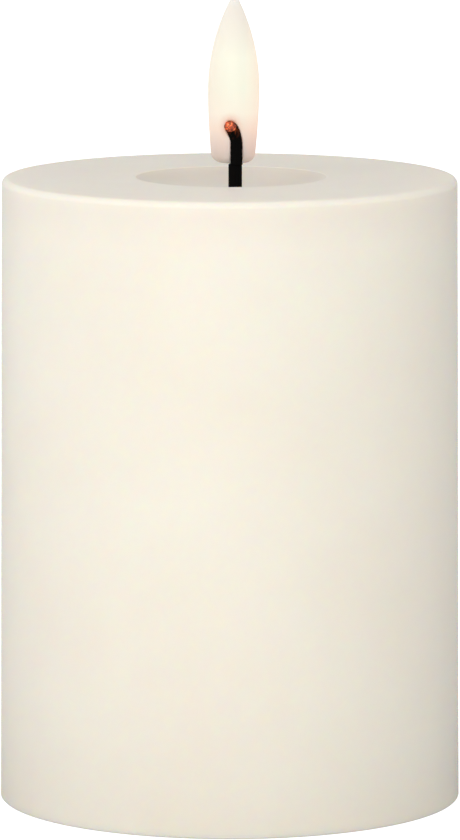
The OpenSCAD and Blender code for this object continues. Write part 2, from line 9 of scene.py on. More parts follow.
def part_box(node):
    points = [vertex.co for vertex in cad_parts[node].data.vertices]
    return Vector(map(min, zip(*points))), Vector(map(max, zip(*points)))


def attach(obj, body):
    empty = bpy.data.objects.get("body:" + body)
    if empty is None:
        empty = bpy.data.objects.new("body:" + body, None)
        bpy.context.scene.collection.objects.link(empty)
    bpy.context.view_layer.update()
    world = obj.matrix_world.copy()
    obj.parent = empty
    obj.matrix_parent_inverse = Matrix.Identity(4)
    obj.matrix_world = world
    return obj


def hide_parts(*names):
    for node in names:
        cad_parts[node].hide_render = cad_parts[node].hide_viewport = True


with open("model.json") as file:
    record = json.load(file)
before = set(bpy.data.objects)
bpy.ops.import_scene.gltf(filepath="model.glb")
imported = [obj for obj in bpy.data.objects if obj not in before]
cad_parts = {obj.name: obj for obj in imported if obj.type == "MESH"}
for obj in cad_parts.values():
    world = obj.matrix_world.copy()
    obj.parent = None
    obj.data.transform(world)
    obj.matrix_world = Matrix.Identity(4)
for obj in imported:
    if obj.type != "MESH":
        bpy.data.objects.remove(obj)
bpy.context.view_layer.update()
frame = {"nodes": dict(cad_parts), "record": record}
nodes = frame["nodes"]

# ---------------------------------------------------------------------------------------------
# Sizes in metres: what the frame holds is read from it, and the rest repeats the design's values.
# x grows to the right, y to the back and z upwards; _R is a radius, _H a height and _T a thickness.
# ---------------------------------------------------------------------------------------------
shell_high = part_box("wax_shell")[1]
flame_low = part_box("flame_diffuser")[0]
stem_low, stem_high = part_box("wick_stem")
wick_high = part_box("wick")[1]
door_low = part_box("battery_door")[0]
knob_low, knob_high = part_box("switch_knob")

BODY_R = shell_high.x
BODY_H = shell_high.z
BODY_TOP_R = BODY_R - 0.0006
HOLLOW_R = BODY_R - 0.0035
HOLLOW_BEVEL = 0.002
CEILING_Z = BODY_H - 0.006
TOP_EDGE_R = 0.0011
FOOT_EDGE_R = 0.0003
WAX_WAVE = 0.00005
WAX_DIMPLE = 0.00008
WAX_TOP_WAVE = 0.00004
POOL_R = 0.0155
POOL_DEPTH = 0.0023
POOL_X = 0.0003

STEM_X = (stem_low.x + stem_high.x) / 2
STEM_Y = (stem_low.y + stem_high.y) / 2
STEM_R = (stem_high.x - stem_low.x) / 2
STEM_WALL = 0.0003
STEM_EDGE_R = 0.00012

FLAME_X = 0.00055
FLAME_Y = 0.0012
FLAME_Z = flame_low.z
FLAME_R = 0.004175
FLAME_FOOT_R = FLAME_R - 0.00055
FLAME_EDGE_R = 0.0017
FLAME_BELLY = 0.0118
FLAME_H = 0.0277
FLAME_LEAN = math.radians(0.5)
# The share of the bow kept below the blunt tip, and the tip's height as a share of its radius
FLAME_BOW = 0.955
FLAME_CAP = 0.55
LAMP_X = STEM_X + 0.0003
LAMP_Y = STEM_Y + 0.0005

WICK_HALF_W = 0.001
WICK_HALF_T = 0.00065
WICK_X = STEM_X + 0.0002
WICK_Y = wick_high.y - WICK_HALF_T
WICK_BEND = 0.0033
GROOVE_CLEARANCE = 0.00012
SLOT_CLEARANCE = 0.0001
SLOT_DEPTH = 0.004
TIP_X = WICK_X - 0.001
TIP_Z = FLAME_Z + WICK_BEND + 0.00295
EMBER_R = 0.0009
EMBER_RISE = 0.0005

DOOR_T = 0.0015
BASE_FACE_Z = door_low.z
CELL_Y = 0.0075
POLE_X = 0.0195


# ---------------------------------------------------------------------------------------------
# Camera, floor and light
# ---------------------------------------------------------------------------------------------
CAMERA_RANGE = 1.12
CAMERA_RISE = math.radians(8.336)
CAMERA_AIM = Vector((0.00006, 0.0, 0.0617))
CAMERA_LENS = 295.35
FLOOR_REACH = 6.0
FLOOR_Z = -0.00002
LIGHT_REACH = 1.0
LIGHT_SIZE = 0.8
SOFT_WHITE = (1.0, 0.985, 0.97)
CLEAR_WHITE = (1.0, 0.99, 0.98)


def make_camera():
    data = bpy.data.cameras.new("camera")
    data.lens = CAMERA_LENS
    data.sensor_width = 36
    data.clip_start = 0.01
    data.clip_end = 30
    camera = bpy.data.objects.new("camera", data)
    back = Vector((0, -math.cos(CAMERA_RISE), math.sin(CAMERA_RISE)))
    camera.location = CAMERA_AIM + back * CAMERA_RANGE
    camera.rotation_euler = (-back).to_track_quat("-Z", "Y").to_euler()
    bpy.context.scene.collection.objects.link(camera)
    bpy.context.scene.camera = camera


def new_tree(name):
    """A material with an empty node tree."""
    material = bpy.data.materials.new(name)
    material.use_nodes = True
    tree = material.node_tree
    tree.nodes.clear()
    return material, tree


def add_node(tree, kind, **settings):
    """A node with its own settings, or else the sockets of those names, set."""
    made = tree.nodes.new(kind)
    for key, value in settings.items():
        if hasattr(made, key):
            setattr(made, key, value)
        else:
            made.inputs[key.replace("_", " ")].default_value = value
    return made


def make_world():
    """White to the eye, and a softer pale grey as a light."""
    world = bpy.data.worlds.new("studio")
    bpy.context.scene.world = world
    world.use_nodes = True
    tree = world.node_tree
    tree.nodes.clear()
    seen = add_node(tree, "ShaderNodeBackground", Color=(1, 1, 1, 1), Strength=1.0)
    felt = add_node(tree, "ShaderNodeBackground", Color=(*SOFT_WHITE, 1), Strength=0.56)
    path = add_node(tree, "ShaderNodeLightPath")
    mix = add_node(tree, "ShaderNodeMixShader")
    out = add_node(tree, "ShaderNodeOutputWorld")
    tree.links.new(path.outputs["Is Camera Ray"], mix.inputs[0])
    tree.links.new(felt.outputs[0], mix.inputs[1])
    tree.links.new(seen.outputs[0], mix.inputs[2])
    tree.links.new(mix.outputs[0], out.inputs["Surface"])


def make_floor():
    """A pale ring that starts under the wax, so that the underside can be seen and lit from below."""
    count = 96
    mesh = bpy.data.meshes.new("floor")
    turns = [math.tau * i / count for i in range(count)]
    rim = [(radius * math.cos(a), radius * math.sin(a), FLOOR_Z)
           for radius in (BODY_R - 0.0002, FLOOR_REACH) for a in turns]
    quads = [(i, count + i, count + (i + 1) % count, (i + 1) % count) for i in range(count)]
    mesh.from_pydata(rim, [], quads)
    floor = bpy.data.objects.new("floor", mesh)
    bpy.context.scene.collection.objects.link(floor)
    mesh.materials.append(floor_material())


def floor_material():
    """White to the eye from above, pale to light and dimmer near the foot as painted contact shade, and
    clear from below.
    """
    material, tree = new_tree("floor")
    diffuse = add_node(tree, "ShaderNodeBsdfDiffuse")
    coords = add_node(tree, "ShaderNodeTexCoord")
    reach = distance_to(tree, coords.outputs["Object"], (0, 0, 0))
    # painted shade: the floor's diffuse colour dimmer near the foot, so that less light bounces up onto it
    tree.links.new(spread(tree, reach, 0.36, 0.66, 0.045, 0.11), diffuse.inputs["Color"])
    glow = add_node(tree, "ShaderNodeEmission", Color=(1, 1, 1, 1), Strength=1.0)
    path = add_node(tree, "ShaderNodeLightPath")
    lift = add_node(tree, "ShaderNodeMixShader")
    both = add_node(tree, "ShaderNodeAddShader")
    clear = add_node(tree, "ShaderNodeBsdfTransparent")
    side = add_node(tree, "ShaderNodeNewGeometry")
    mix = add_node(tree, "ShaderNodeMixShader")
    out = add_node(tree, "ShaderNodeOutputMaterial")
    tree.links.new(diffuse.outputs[0], both.inputs[0])
    tree.links.new(glow.outputs[0], both.inputs[1])
    tree.links.new(path.outputs["Is Camera Ray"], lift.inputs[0])
    tree.links.new(diffuse.outputs[0], lift.inputs[1])
    tree.links.new(both.outputs[0], lift.inputs[2])
    tree.links.new(side.outputs["Backfacing"], mix.inputs[0])
    tree.links.new(lift.outputs[0], mix.inputs[1])
    tree.links.new(clear.outputs[0], mix.inputs[2])
    tree.links.new(mix.outputs[0], out.inputs["Surface"])
    return material


def area_light(name, azimuth, rise, watts, colour=SOFT_WHITE):
    """A soft square light that looks at the candle's middle; azimuth 0 is the front, + is the right."""
    data = bpy.data.lights.new(name, "AREA")
    data.shape = "SQUARE"
    data.size = LIGHT_SIZE
    data.energy = watts
    data.color = colour
    light = bpy.data.objects.new(name, data)
    a, e = math.radians(azimuth), math.radians(rise)
    way = Vector((math.sin(a) * math.cos(e), -math.cos(a) * math.cos(e), math.sin(e)))
    aim = Vector((0, 0, BODY_H * 0.55))
    light.location = aim + way * LIGHT_REACH
    light.rotation_euler = (-way).to_track_quat("-Z", "Y").to_euler()
    bpy.context.scene.collection.objects.link(light)


def make_lights():
    area_light("key", -58, 30, 2.1)
    area_light("front", -4, 15, 3.6)
    area_light("low_left", -52, 10, 0.8)
    area_light("low_right", 56, 10, 1.45)
    area_light("right_top", 28, 48, 0.9)
    area_light("left_edge", -115, 20, 0.8, CLEAR_WHITE)


# ---------------------------------------------------------------------------------------------
# Mesh helpers
# ---------------------------------------------------------------------------------------------
def finish_mesh(name, bm, smooth_angle=35.0):
    """An object from a bmesh, shaded smooth up to this angle."""
    bmesh.ops.recalc_face_normals(bm, faces=bm.faces)
    mesh = bpy.data.meshes.new(name)
    bm.to_mesh(mesh)
    bm.free()
    for polygon in mesh.polygons:
        polygon.use_smooth = True
    mesh.set_sharp_from_angle(angle=math.radians(smooth_angle))
    made = bpy.data.objects.new(name, mesh)
    bpy.context.scene.collection.objects.link(made)
    return made


def arc(cx, cz, r, a0, a1, n):
    """Points on an arc, with the angles in degrees."""
    angles = [math.radians(a0 + (a1 - a0) * i / n) for i in range(n + 1)]
    return [(cx + r * math.cos(a), cz + r * math.sin(a)) for a in angles]


def line(a, b, n):
    """The points from a up to, but without, b."""
    return [(a[0] + (b[0] - a[0]) * i / n, a[1] + (b[1] - a[1]) * i / n) for i in range(n)]


def revolve(profile, segments, place=None):
    """A bmesh turned from (radius, height) points about +Z; points at radius 0 become one vertex."""
    bm = bmesh.new()
    rings = []
    for r, z in profile:
        if r < 1e-9:
            rings.append([bm.verts.new(place(0.0, 0.0, z) if place else (0, 0, z))])
            continue
        ring = []
        for k in range(segments):
            a = math.tau * k / segments
            x, y = r * math.cos(a), r * math.sin(a)
            ring.append(bm.verts.new(place(x, y, z) if place else (x, y, z)))
        rings.append(ring)
    for low, high in zip(rings, rings[1:]):
        bridge(bm, low, high)
    return bm, rings


def bridge(bm, low, high):
    """Faces between two rings; a ring of one vertex makes a fan."""
    n = max(len(low), len(high))
    for k in range(n):
        a, b = low[k % len(low)], low[(k + 1) % len(low)]
        c, d = high[(k + 1) % len(high)], high[k % len(high)]
        corners = []
        for vert in (a, b, c, d):
            if vert not in corners:
                corners.append(vert)
        if len(corners) > 2:
            bm.faces.new(corners)


def sweep(path, frames, outline):
    """A closed tube; outline(i) gives the (side, front) offsets of the ring at path point i."""
    bm = bmesh.new()
    rings = []
    for i, (centre, (side, front)) in enumerate(zip(path, frames)):
        rings.append([bm.verts.new(centre + side * u + front * v) for u, v in outline(i)])
    for low, high in zip(rings, rings[1:]):
        bridge(bm, low, high)
    bm.faces.new(list(reversed(rings[0])))
    bm.faces.new(rings[-1])
    return bm


def carried_frames(path, first):
    """A sideways and a forward direction at each point, carried along the path without twisting."""
    frames = []
    side = first
    for i in range(len(path)):
        along = (path[min(i + 1, len(path) - 1)] - path[max(i - 1, 0)]).normalized()
        side = (side - along * side.dot(along)).normalized()
        frames.append((side, along.cross(side)))
    return frames


def smooth_path(points, steps):
    """A Catmull-Rom curve through the points."""
    path = []
    last = len(points) - 1
    for i in range(last):
        a, b = points[max(i - 1, 0)], points[i]
        c, d = points[i + 1], points[min(i + 2, last)]
        for j in range(steps):
            t = j / steps
            path.append(0.5 * (2 * b + (c - a) * t + (2 * a - 5 * b + 4 * c - d) * t * t
                               + (3 * b - 3 * c + d - a) * t * t * t))
    path.append(points[last].copy())
    return path


def cut(target, cutters):
    """Cuts the closed cutters out of the target, removes them and cleans the seams."""
    for cutter in cutters:
        change = target.modifiers.new("cut", "BOOLEAN")
        change.operation = "DIFFERENCE"
        change.solver = "EXACT"
        change.object = cutter
        depsgraph = bpy.context.evaluated_depsgraph_get()
        result = bpy.data.meshes.new_from_object(target.evaluated_get(depsgraph))
        target.modifiers.clear()
        old = target.data
        target.data = result
        bpy.data.meshes.remove(old)
        bpy.data.objects.remove(cutter)
    bm = bmesh.new()
    bm.from_mesh(target.data)
    bmesh.ops.remove_doubles(bm, verts=bm.verts, dist=5e-6)
    bmesh.ops.dissolve_degenerate(bm, edges=bm.edges, dist=5e-6)
    bmesh.ops.triangulate(bm, faces=bm.faces)
    same = {}
    for face in bm.faces:
        same.setdefault(frozenset(face.verts), []).append(face)
    doubled = [face for faces in same.values() if len(faces) > 1 for face in faces]
    bmesh.ops.delete(bm, geom=doubled, context="FACES")
    bm.to_mesh(target.data)
    bm.free()
    for polygon in target.data.polygons:
        polygon.use_smooth = True
    target.data.set_sharp_from_angle(angle=math.radians(35))


# ---------------------------------------------------------------------------------------------
# Materials
# ---------------------------------------------------------------------------------------------
def shader_base(name):
    """A material with a Principled shader, its output and object coordinates."""
    material, tree = new_tree(name)
    shader = add_node(tree, "ShaderNodeBsdfPrincipled")
    out = add_node(tree, "ShaderNodeOutputMaterial")
    coords = add_node(tree, "ShaderNodeTexCoord")
    tree.links.new(shader.outputs[0], out.inputs["Surface"])
    return material, tree, shader, coords.outputs["Object"]


def noise_at(tree, coords, scale, detail=3.0, rough=0.5, stretch=None):
    """Noise from 0 to 1; stretch scales the coordinates along each axis first."""
    if stretch is not None:
        mapping = add_node(tree, "ShaderNodeMapping")
        mapping.inputs["Scale"].default_value = stretch
        tree.links.new(coords, mapping.inputs["Vector"])
        coords = mapping.outputs[0]
    made = add_node(tree, "ShaderNodeTexNoise", Scale=scale, Detail=detail, Roughness=rough)
    tree.links.new(coords, made.inputs["Vector"])
    return made.outputs["Fac"]


def spread(tree, value, low, high, start=0.3, stop=0.7):
    """Low where the value is start, high where it is stop, and held beyond them."""
    made = add_node(tree, "ShaderNodeMapRange")
    made.inputs["From Min"].default_value = start
    made.inputs["From Max"].default_value = stop
    made.inputs["To Min"].default_value = low
    made.inputs["To Max"].default_value = high
    tree.links.new(value, made.inputs["Value"])
    return made.outputs["Result"]


def ramp(tree, value, stops):
    """A colour from (place, colour) stops."""
    made = add_node(tree, "ShaderNodeValToRGB")
    elements = made.color_ramp.elements
    while len(elements) < len(stops):
        elements.new(0.5)
    for element, (place, colour) in zip(elements, stops):
        element.position = place
        element.color = (*colour, 1)
    tree.links.new(value, made.inputs["Fac"])
    return made.outputs["Color"]


def blend_colour(tree, factor, a, b, mode="MIX"):
    """Colour a with b blended over it by the factor; each may be a socket or a value."""
    made = add_node(tree, "ShaderNodeMix", data_type="RGBA", blend_type=mode)
    for socket, value in ((made.inputs[0], factor), (made.inputs[6], a), (made.inputs[7], b)):
        if isinstance(value, bpy.types.NodeSocket):
            tree.links.new(value, socket)
        else:
            socket.default_value = value if isinstance(value, float) else (*value, 1)
    return made.outputs[2]


def bump(tree, shader, height, distance, strength=1.0, onto=None):
    """Raises the shader's surface by a height map, over the normal given as onto."""
    made = add_node(tree, "ShaderNodeBump", Strength=strength, Distance=distance)
    tree.links.new(height, made.inputs["Height"])
    if onto is not None:
        tree.links.new(onto, made.inputs["Normal"])
    tree.links.new(made.outputs[0], shader.inputs["Normal"])
    return made.outputs[0]


def fade_along(tree, coords, axis, low, high):
    """0 where the coordinate on this axis is low, to 1 where it is high, in metres."""
    parts = add_node(tree, "ShaderNodeSeparateXYZ")
    tree.links.new(coords, parts.inputs[0])
    return spread(tree, parts.outputs[axis], 0.0, 1.0, low, high)


def distance_to(tree, coords, point):
    way = add_node(tree, "ShaderNodeVectorMath", operation="DISTANCE")
    tree.links.new(coords, way.inputs[0])
    way.inputs[1].default_value = point
    return way.outputs["Value"]


def radius_about(tree, coords, x, y):
    """The distance from the upright line through x, y."""
    flat = add_node(tree, "ShaderNodeVectorMath", operation="MULTIPLY")
    tree.links.new(coords, flat.inputs[0])
    flat.inputs[1].default_value = (1, 1, 0)
    return distance_to(tree, flat.outputs[0], (x, y, 0))


def product(tree, first, *others):
    """The product of two or more values."""
    for other in others:
        made = add_node(tree, "ShaderNodeMath", operation="MULTIPLY")
        tree.links.new(first, made.inputs[0])
        tree.links.new(other, made.inputs[1])
        first = made.outputs[0]
    return first


def set_subsurface(shader, radius, scale):
    shader.inputs["Subsurface Weight"].default_value = 1.0
    shader.inputs["Subsurface Radius"].default_value = radius
    shader.inputs["Subsurface Scale"].default_value = scale


def painted_pool_shade(tree, coords):
    """Painted shade in the pool's recess: 1 on the pool's sloping rim, falling to a little in its middle,
    and 0 on the rest of the wax.
    """
    floor_z = BODY_H - POOL_DEPTH
    reach = radius_about(tree, coords, POOL_X, 0)
    slope = spread(tree, reach, 0.35, 1.0, POOL_R * 0.5, POOL_R * 0.92)
    above = fade_along(tree, coords, "Z", floor_z - 0.0006, floor_z - 0.0002)
    below = fade_along(tree, coords, "Z", BODY_H - 0.00002, BODY_H - 0.00012)
    inside = spread(tree, reach, 1.0, 0.0, POOL_R, POOL_R * 1.01)
    return product(tree, slope, above, below, inside)


def painted_rim_shade(tree, coords):
    """Painted shade on the rounding of the wax's upper edge: 1 there, fading down its side; 0 on its flat
    top.
    """
    reach = radius_about(tree, coords, 0, 0)
    outer = spread(tree, reach, 0.0, 1.0, BODY_TOP_R - 0.0014, BODY_TOP_R - 0.0004)
    return product(tree, outer, fade_along(tree, coords, "Z", BODY_H - 0.008, BODY_H - 0.001))


def wax_material():
    """Ivory wax: clouded, lightly frosted, with painted shade in the pool and on the upper edge, and soft
    to light.
    """
    material, tree, shader, coords = shader_base("ivory_wax")
    clouds = noise_at(tree, coords, 38.0, 4.0, 0.55)
    mottle = noise_at(tree, coords, 210.0, 3.0, 0.6)
    tone = ramp(tree, clouds, [(0.3, (0.885, 0.831, 0.739)), (0.7, (0.910, 0.865, 0.773))])
    frosted = blend_colour(tree, spread(tree, mottle, 0.0, 0.12), tone, (0.925, 0.885, 0.81))
    # painted shade: the wax colour darkened in the pool's recess
    pool_shaded = blend_colour(tree, painted_pool_shade(tree, coords), frosted, (0.770, 0.718, 0.645))
    # painted shade: the upper edge's rounding darkened to tone down its lit band
    rim_shaded = blend_colour(tree, painted_rim_shade(tree, coords), pool_shaded, (0.94, 0.955, 0.97), mode="MULTIPLY")
    tree.links.new(rim_shaded, shader.inputs["Base Color"])
    set_subsurface(shader, (1.0, 0.72, 0.42), 0.0028)
    shader.inputs["IOR"].default_value = 1.44
    shader.inputs["Specular IOR Level"].default_value = 0.32
    tree.links.new(spread(tree, mottle, 0.42, 0.56), shader.inputs["Roughness"])
    waves = noise_at(tree, coords, 60.0, 2.0, 0.4)
    grain = noise_at(tree, coords, 1500.0, 2.0, 0.5)
    wavy = bump(tree, shader, waves, 0.00025, 0.35)
    bump(tree, shader, grain, 0.00003, 0.3, onto=wavy)
    return material


def flame_glow(tree, coords, height):
    """Stronger and yellower on the silicone nearest the upright lamp strip inside it."""
    foot = [(0.0, (0.11, 0.10, 0.09)), (0.1, (0.30, 0.22, 0.19)), (0.2, (0.45, 0.34, 0.27))]
    tip = [(0.88, (0.46, 0.42, 0.36)), (1.0, (0.43, 0.43, 0.40))]
    far = [(0.3, (0.50, 0.44, 0.36)), (0.45, (0.52, 0.46, 0.36)),
           (0.62, (0.52, 0.46, 0.37)), (0.75, (0.47, 0.42, 0.35))]
    near = [(0.3, (0.52, 0.50, 0.40)), (0.45, (0.54, 0.55, 0.43)),
            (0.62, (0.54, 0.55, 0.43)), (0.75, (0.50, 0.47, 0.38))]
    nearness = spread(tree, radius_about(tree, coords, LAMP_X, LAMP_Y), 1.0, 0.0, 0.0021, 0.0045)
    far_glow = ramp(tree, height, foot + far + tip)
    near_glow = ramp(tree, height, foot + near + tip)
    return blend_colour(tree, nearness, far_glow, near_glow)


def flame_material(hot):
    """Milky silicone that glows, with painted warm light on its right side, pinkish at its foot, and a
    painted orange glow from the ember around it.
    """
    material, tree, shader, coords = shader_base("flame_silicone")
    height = fade_along(tree, coords, "Z", FLAME_Z, FLAME_Z + FLAME_H)
    veil = noise_at(tree, coords, 260.0, 3.0, 0.5)
    body = ramp(tree, height, [(0.0, (0.48, 0.42, 0.38)), (0.2, (0.50, 0.44, 0.40)),
                               (0.45, (0.42, 0.41, 0.38)), (1.0, (0.44, 0.43, 0.41))])
    veiled = blend_colour(tree, spread(tree, veil, 0.0, 0.15), body, (0.44, 0.42, 0.39))
    tree.links.new(veiled, shader.inputs["Base Color"])
    glow = flame_glow(tree, coords, height)
    # painted light: the glow made warmer on the flame's right side
    right = fade_along(tree, coords, "X", FLAME_X + 0.0018, FLAME_X + FLAME_R)
    right_lit_glow = blend_colour(tree, right, glow, (0.10, 0.01, 0.0), mode="ADD")
    # painted light: the ember's orange glow painted on the silicone around it
    painted_ember_halo = spread(tree, distance_to(tree, coords, hot), 1.0, 0.0, EMBER_R, 0.0026)
    ember_lit_glow = blend_colour(tree, product(tree, painted_ember_halo, painted_ember_halo), right_lit_glow, (0.42, 0.10, 0.02))
    tree.links.new(ember_lit_glow, shader.inputs["Emission Color"])
    shader.inputs["Emission Strength"].default_value = 1.0
    set_subsurface(shader, (1.0, 0.7, 0.5), 0.0015)
    shader.inputs["Specular IOR Level"].default_value = 0.25
    tree.links.new(spread(tree, veil, 0.36, 0.5), shader.inputs["Roughness"])
    bump(tree, shader, noise_at(tree, coords, 900.0, 2.0), 0.00002, 0.3)
    return material


def char_material(name, hot=None):
    """Charred black with fibres along its height, and a painted dull orange glow in streaks near the hot
    point.
    """
    material, tree, shader, coords = shader_base(name)
    fibres = noise_at(tree, coords, 1800.0, 4.0, 0.6, stretch=(1.0, 1.0, 0.22))
    soot = noise_at(tree, coords, 900.0, 3.0, 0.5)
    colour = ramp(tree, fibres, [(0.35, (0.0006, 0.0005, 0.0005)), (0.6, (0.002, 0.0016, 0.0014)),
                                 (0.8, (0.005, 0.004, 0.003))])
    sooty = blend_colour(tree, spread(tree, soot, 0.0, 0.35), colour, (0.001, 0.001, 0.001))
    tree.links.new(sooty, shader.inputs["Base Color"])
    shader.inputs["Specular IOR Level"].default_value = 0.06
    tree.links.new(spread(tree, fibres, 0.7, 0.95), shader.inputs["Roughness"])
    bump(tree, shader, fibres, 0.00006, 0.6)
    if hot is not None:
        # painted light: an orange glow in streaks on the wick near the ember
        near = spread(tree, distance_to(tree, coords, hot), 1.0, 0.0, EMBER_R, 0.0023)
        painted_glow_streaks = product(tree, near, spread(tree, fibres, 0.0, 1.0, 0.5, 0.72))
        glow = blend_colour(tree, painted_glow_streaks, (0.0, 0.0, 0.0), (0.30, 0.055, 0.012))
        tree.links.new(glow, shader.inputs["Emission Color"])
        shader.inputs["Emission Strength"].default_value = 1.0
    return material


def ember_material():
    """Glowing lumps between dark, bent cracks, with painted shade that makes it dimmer towards the
    underside.
    """
    material, tree, shader, coords = shader_base("ember_glow")
    cells = add_node(tree, "ShaderNodeTexVoronoi", feature="DISTANCE_TO_EDGE", Scale=1050.0)
    warp = add_node(tree, "ShaderNodeTexNoise", Scale=1400.0, Detail=3.0)
    tree.links.new(coords, warp.inputs["Vector"])
    bent = add_node(tree, "ShaderNodeVectorMath", operation="MULTIPLY_ADD")
    tree.links.new(warp.outputs["Color"], bent.inputs[0])
    bent.inputs[1].default_value = (0.0007, 0.0007, 0.0007)
    tree.links.new(coords, bent.inputs[2])
    tree.links.new(bent.outputs[0], cells.inputs["Vector"])
    heat = noise_at(tree, coords, 1300.0, 4.0, 0.65)
    glow = ramp(tree, heat, [(0.36, (0.07, 0.008, 0.002)), (0.45, (0.42, 0.045, 0.010)),
                             (0.52, (0.80, 0.12, 0.028)), (0.6, (1.0, 0.28, 0.11)),
                             (0.72, (1.0, 0.45, 0.20))])
    crack = spread(tree, cells.outputs["Distance"], 0.0, 1.0, 0.0, 0.1)
    # painted shade: the ember's glow dimmed towards its underside
    painted_top_light = fade_along(tree, coords, "Z", TIP_Z - 0.0009, TIP_Z - 0.0002)
    lit = blend_colour(tree, painted_top_light, (0.035, 0.005, 0.002), glow)
    tree.links.new(blend_colour(tree, crack, (0.05, 0.006, 0.002), lit), shader.inputs["Emission Color"])
    shader.inputs["Emission Strength"].default_value = 0.95
    cooled = blend_colour(tree, crack, (0.02, 0.006, 0.003), (0.22, 0.04, 0.012))
    tree.links.new(cooled, shader.inputs["Base Color"])
    tree.links.new(spread(tree, heat, 0.5, 0.8), shader.inputs["Roughness"])
    bump(tree, shader, heat, 0.0001, 0.7)
    return material


WORN_EDGE_R = 0.00022


def edge_wear(tree, coords, reach):
    """Wear, in patches on edges and corners and 0 on open faces, and the normal with its edges softened."""
    soft = add_node(tree, "ShaderNodeBevel", samples=6, Radius=reach)
    flat = add_node(tree, "ShaderNodeNewGeometry")
    turn = add_node(tree, "ShaderNodeVectorMath", operation="DOT_PRODUCT")
    tree.links.new(soft.outputs[0], turn.inputs[0])
    tree.links.new(flat.outputs["Normal"], turn.inputs[1])
    edge = spread(tree, turn.outputs["Value"], 1.0, 0.0, 0.86, 0.995)
    patchy = spread(tree, noise_at(tree, coords, 340.0, 4.0, 0.7), 0.25, 1.0, 0.4, 0.65)
    return product(tree, edge, patchy), soft.outputs[0]


def plastic_material(name, colour, rough, variation, grain, depth, metallic):
    """Moulded or plated: a slow drift of colour, a fine grain, scuffs, and edges that are worn."""
    material, tree, shader, coords = shader_base(name)
    drift = noise_at(tree, coords, 90.0, 3.0)
    light = tuple(min(1.0, c * (1 + variation)) for c in colour)
    dark = tuple(c * (1 - variation) for c in colour)
    body = ramp(tree, drift, [(0.3, dark), (0.7, light)])
    wear, soft = edge_wear(tree, coords, WORN_EDGE_R)
    worn = tuple(min(1.0, c * 1.12 + 0.02) for c in colour)
    tree.links.new(blend_colour(tree, wear, body, worn), shader.inputs["Base Color"])
    shader.inputs["Metallic"].default_value = metallic
    handling = noise_at(tree, coords, 420.0, 4.0, 0.6)
    scuffs = noise_at(tree, coords, 900.0, 2.0, 0.5, stretch=(1.0, 0.12, 1.0))
    rubbed = add_node(tree, "ShaderNodeMath", operation="MULTIPLY_ADD")
    tree.links.new(spread(tree, scuffs, 0.0, 1.0, 0.55, 0.7), rubbed.inputs[0])
    rubbed.inputs[1].default_value = -0.08
    tree.links.new(spread(tree, handling, max(0.12, rough - 0.08), min(1.0, rough + 0.1)), rubbed.inputs[2])
    tree.links.new(rubbed.outputs[0], shader.inputs["Roughness"])
    bump(tree, shader, noise_at(tree, coords, grain, 2.0), depth, 0.5, onto=soft)
    return material


def wrap_material(name, way):
    """A cell's sleeve: dark blue, then a thin pale line and a copper end on the button's side."""
    material, tree, shader, coords = shader_base(name)
    drift = noise_at(tree, coords, 160.0, 3.0)
    blue = ramp(tree, drift, [(0.3, (0.014, 0.060, 0.115)), (0.7, (0.022, 0.082, 0.150))])
    copper = ramp(tree, drift, [(0.3, (0.50, 0.23, 0.085)), (0.7, (0.58, 0.28, 0.11))])
    line_at, line_w, blur = 0.0132, 0.0007, 0.00006
    end_at = line_at + line_w
    pale = fade_along(tree, coords, "X", way * line_at, way * (line_at + blur))
    end = fade_along(tree, coords, "X", way * end_at, way * (end_at + blur))
    lined = blend_colour(tree, pale, blue, (0.62, 0.62, 0.60))
    tree.links.new(blend_colour(tree, end, lined, copper), shader.inputs["Base Color"])
    scratches = noise_at(tree, coords, 700.0, 4.0, 0.6, stretch=(0.2, 1.0, 1.0))
    tree.links.new(spread(tree, scratches, 0.22, 0.38), shader.inputs["Roughness"])
    bump(tree, shader, scratches, 0.00001, 0.4)
    return material


# By slot: colour, roughness, share of colour variation, scale and depth of the grain, metallic.
# The cells' sleeves have their own material.
MATERIALS = {
    "base_plastic": ((0.80, 0.755, 0.66), 0.55, 0.03, 3200.0, 0.00003, 0.0),
    "holder_plastic": ((0.78, 0.77, 0.72), 0.45, 0.03, 2000.0, 0.00002, 0.0),
    "switch_black": ((0.02, 0.02, 0.02), 0.5, 0.15, 3000.0, 0.00002, 0.0),
    "cell_metal": ((0.62, 0.61, 0.59), 0.3, 0.05, 1500.0, 0.00001, 1.0),
    "contact_metal": ((0.66, 0.63, 0.58), 0.33, 0.06, 1400.0, 0.00001, 1.0),
    "spring_steel": ((0.55, 0.54, 0.52), 0.28, 0.06, 1800.0, 0.00001, 1.0),
    "terminal_brass": ((0.72, 0.56, 0.28), 0.35, 0.08, 1800.0, 0.00001, 1.0),
    "board_green": ((0.012, 0.10, 0.035), 0.35, 0.12, 700.0, 0.00002, 0.0),
    "led_board": ((0.70, 0.70, 0.66), 0.4, 0.04, 900.0, 0.00001, 0.0),
    "led_phosphor": ((0.80, 0.62, 0.14), 0.4, 0.06, 2500.0, 0.00001, 0.0),
    "chip_black": ((0.012, 0.012, 0.013), 0.6, 0.15, 2600.0, 0.00002, 0.0),
    "capacitor_sleeve": ((0.01, 0.014, 0.035), 0.3, 0.1, 800.0, 0.00001, 0.0),
    "wire_red": ((0.45, 0.012, 0.010), 0.42, 0.08, 900.0, 0.00002, 0.0),
    "wire_black": ((0.012, 0.012, 0.012), 0.42, 0.15, 900.0, 0.00002, 0.0),
}

# Nodes that get rounded edges: the piece's name, the rounding and the body it rides on
ROUNDED = {
    "battery_door": ("door_moulding", 0.00018, "door"),
    "switch_knob": ("knob_cap", 0.00010, "knob"),
}
SLOTS = {row["node"]: row["material_slot"] for row in frame["record"]["subparts"]}


def dress(piece, material):
    piece.data.materials.clear()
    piece.data.materials.append(material)


